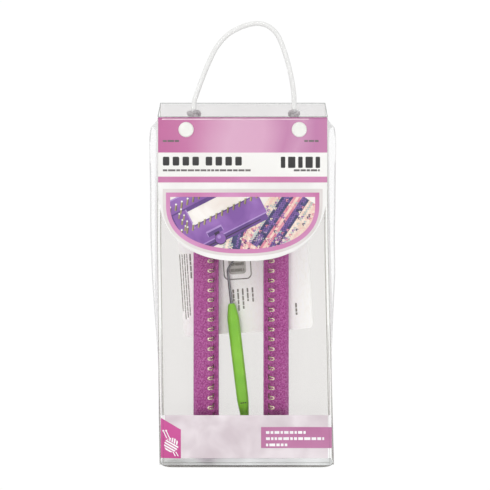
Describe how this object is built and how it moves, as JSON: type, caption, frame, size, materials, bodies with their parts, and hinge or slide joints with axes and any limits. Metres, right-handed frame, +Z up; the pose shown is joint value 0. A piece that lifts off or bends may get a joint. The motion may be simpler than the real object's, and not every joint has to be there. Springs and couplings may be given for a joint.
{
  "type": "knitting loom",
  "caption": "Adjustable sock knitting loom with wire pegs, slider and clamp knobs, standing with its hook and leaflet in a clear snap-flap pouch with a cord handle.",
  "frame": {"origin": "centre of the standing pouch's footprint, on the surface it stands on", "axes": "+Z up along the loom's length, -Y towards the printed flap and the pegs, +X to the right seen from the front"},
  "size_m": [0.1496, 0.038, 0.3521],
  "materials": {
    "clear_film": "clear flexible vinyl sheet, glossy, faint grey-green at its edges",
    "frosted_film": "clouded flexible vinyl sheet",
    "printed_film": "frosted vinyl with printed pink and white bands and a picture panel, satin",
    "snap_plastic": "off-white moulded press stud",
    "white_cord": "white braided cord",
    "purple_plastic": "magenta-purple moulded plastic with a fine glitter fleck",
    "knob_plastic": "violet moulded plastic, glossy",
    "peg_wire": "bent steel wire, bright with a champagne tint",
    "brass": "turned brass insert",
    "steel": "bright steel",
    "lime_plastic": "lime green moulded grip, satin",
    "leaflet_paper": "folded uncoated paper with pale grey printed lines"
  },
  "bodies": {
    "pouch": {"pouch_back_panel": "clear_film", "pouch_front_panel": "clear_film", "pouch_base": "clear_film", "pouch_gusset_left": "clear_film", "pouch_gusset_right": "clear_film", "snap_stud_left": "snap_plastic", "snap_stud_right": "snap_plastic"},
    "shoulder": {"shoulder_strip": "frosted_film", "cord_knot_left": "white_cord", "cord_knot_right": "white_cord"},
    "flap": {"flap_panel": "printed_film", "snap_cap_left": "snap_plastic", "snap_cap_right": "snap_plastic"},
    "handle": {"handle_cord": "white_cord"},
    "loom": {"loom_long_side_left": "purple_plastic", "loom_long_side_right": "purple_plastic", "loom_short_side_bottom": "purple_plastic", "loom_short_side_top": "purple_plastic", "peg_row_left": "peg_wire", "peg_row_right": "peg_wire", "end_screw_bottom_left": "steel", "end_screw_bottom_right": "steel", "end_screw_top_left": "steel", "end_screw_top_right": "steel"},
    "slider": {"slider_bar": "purple_plastic", "slider_pegs_upper": "peg_wire", "slider_pegs_lower": "peg_wire", "thread_insert_left": "brass", "thread_insert_right": "brass", "clamp_plate_left": "purple_plastic", "clamp_plate_right": "purple_plastic"},
    "left_knob": {"knob_left": "knob_plastic", "knob_stud_left": "steel"},
    "right_knob": {"knob_right": "knob_plastic", "knob_stud_right": "steel"},
    "hook": {"hook_grip": "lime_plastic", "hook_shaft": "steel"},
    "leaflet": {"leaflet": "leaflet_paper"}
  },
  "joints": [
    {"name": "shoulder_fold", "type": "hinge", "parent": "pouch", "child": "shoulder", "pos_m": [0, 0.019, 0.289], "axis": [-1, 0, 0], "range_deg": [0, 100]},
    {"name": "flap_fold", "type": "hinge", "parent": "shoulder", "child": "flap", "pos_m": [0, -0.0171, 0.272], "axis": [-1, 0, 0], "range_deg": [0, 170]},
    {"name": "handle_swing", "type": "hinge", "parent": "shoulder", "child": "handle", "pos_m": [0, 0.005, 0.285], "axis": [-1, 0, 0], "range_deg": [-70, 60]},
    {"name": "loom_lift", "type": "slide", "parent": "pouch", "child": "loom", "axis": [0, 0, 1], "range_m": [0, 0.032]},
    {"name": "slider_travel", "type": "slide", "parent": "loom", "child": "slider", "axis": [0, 0, 1], "range_m": [-0.154, 0.0195]},
    {"name": "knob_turn_left", "type": "hinge", "parent": "slider", "child": "left_knob", "pos_m": [-0.0473, 0.008, 0.186], "axis": [-1, 0, 0], "range_deg": [0, 270]},
    {"name": "knob_turn_right", "type": "hinge", "parent": "slider", "child": "right_knob", "pos_m": [0.0427, 0.008, 0.186], "axis": [1, 0, 0], "range_deg": [0, 270]},
    {"name": "hook_lift", "type": "slide", "parent": "loom", "child": "hook", "axis": [0, 0, 1], "range_m": [0, 0.045]},
    {"name": "leaflet_slide", "type": "slide", "parent": "pouch", "child": "leaflet", "axis": [0, 0, 1], "range_m": [-0.09, 0.02]}
  ]
}
